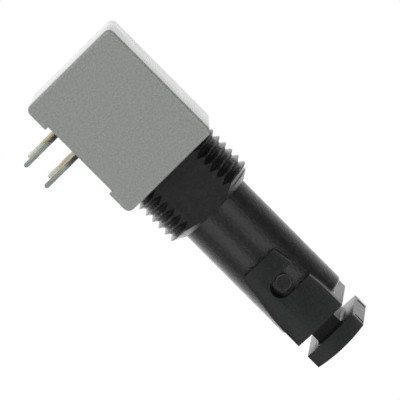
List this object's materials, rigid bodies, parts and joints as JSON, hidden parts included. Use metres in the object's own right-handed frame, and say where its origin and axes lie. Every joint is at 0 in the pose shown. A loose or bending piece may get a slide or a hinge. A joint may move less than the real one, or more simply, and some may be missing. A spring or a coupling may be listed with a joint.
{
  "type": "fibre optic link module",
  "caption": "Grey box on four thin pins, with a black threaded collar and bayonet barrel for an optical fibre, closed by a bayonet dust cap with a T-shaped grip.",
  "frame": {"origin": "on the circuit board's surface, in the middle of the four pins", "axes": "+X along the port towards the dust cap, +Z away from the board"},
  "size_m": [0.0344, 0.0126, 0.0139],
  "materials": {
    "grey_moulding": "fine satin moulding",
    "black_moulding": "fine satin moulding",
    "black_cap_moulding": "fine satin moulding",
    "tinned_pin": "tin plate over gold-coloured alloy",
    "plated_steel": "nickel plate",
    "gold_plate": "gold plate",
    "sleeve_ceramic": "ground white ceramic",
    "lens_glass": "polished",
    "seal_glass": "fused",
    "chip_crystal": "sawn crystal with a gold pad",
    "board_laminate": "glass-fibre laminate",
    "solder": "bright solder",
    "black_epoxy": "poured potting"
  },
  "bodies": {
    "module": {"housing_shell": "grey_moulding", "port_barrel": "black_moulding", "ferrule_sleeve": "sleeve_ceramic", "coupling_lens": "lens_glass", "can_cap": "plated_steel", "can_window": "lens_glass", "can_header": "gold_plate", "glass_seals": "seal_glass", "header_leads": "gold_plate", "chip_submount": "sleeve_ceramic", "emitter_chip": "chip_crystal", "bond_wire": "gold_plate", "alignment_ring": "black_moulding", "lead_board": "board_laminate", "solder_fillets": "solder", "epoxy_backfill": "black_epoxy", "board_pin_1": "tinned_pin", "board_pin_2": "tinned_pin", "board_pin_3": "tinned_pin", "board_pin_4": "tinned_pin"},
    "cap": {"dust_cap": "black_cap_moulding"}
  },
  "joints": [
    {"name": "cap_turn", "type": "hinge", "parent": "module", "child": "cap", "pos_m": [0.0256, 0, 0.00516], "axis": [1, 0, 0], "range_deg": [-7, 38]}
  ]
}
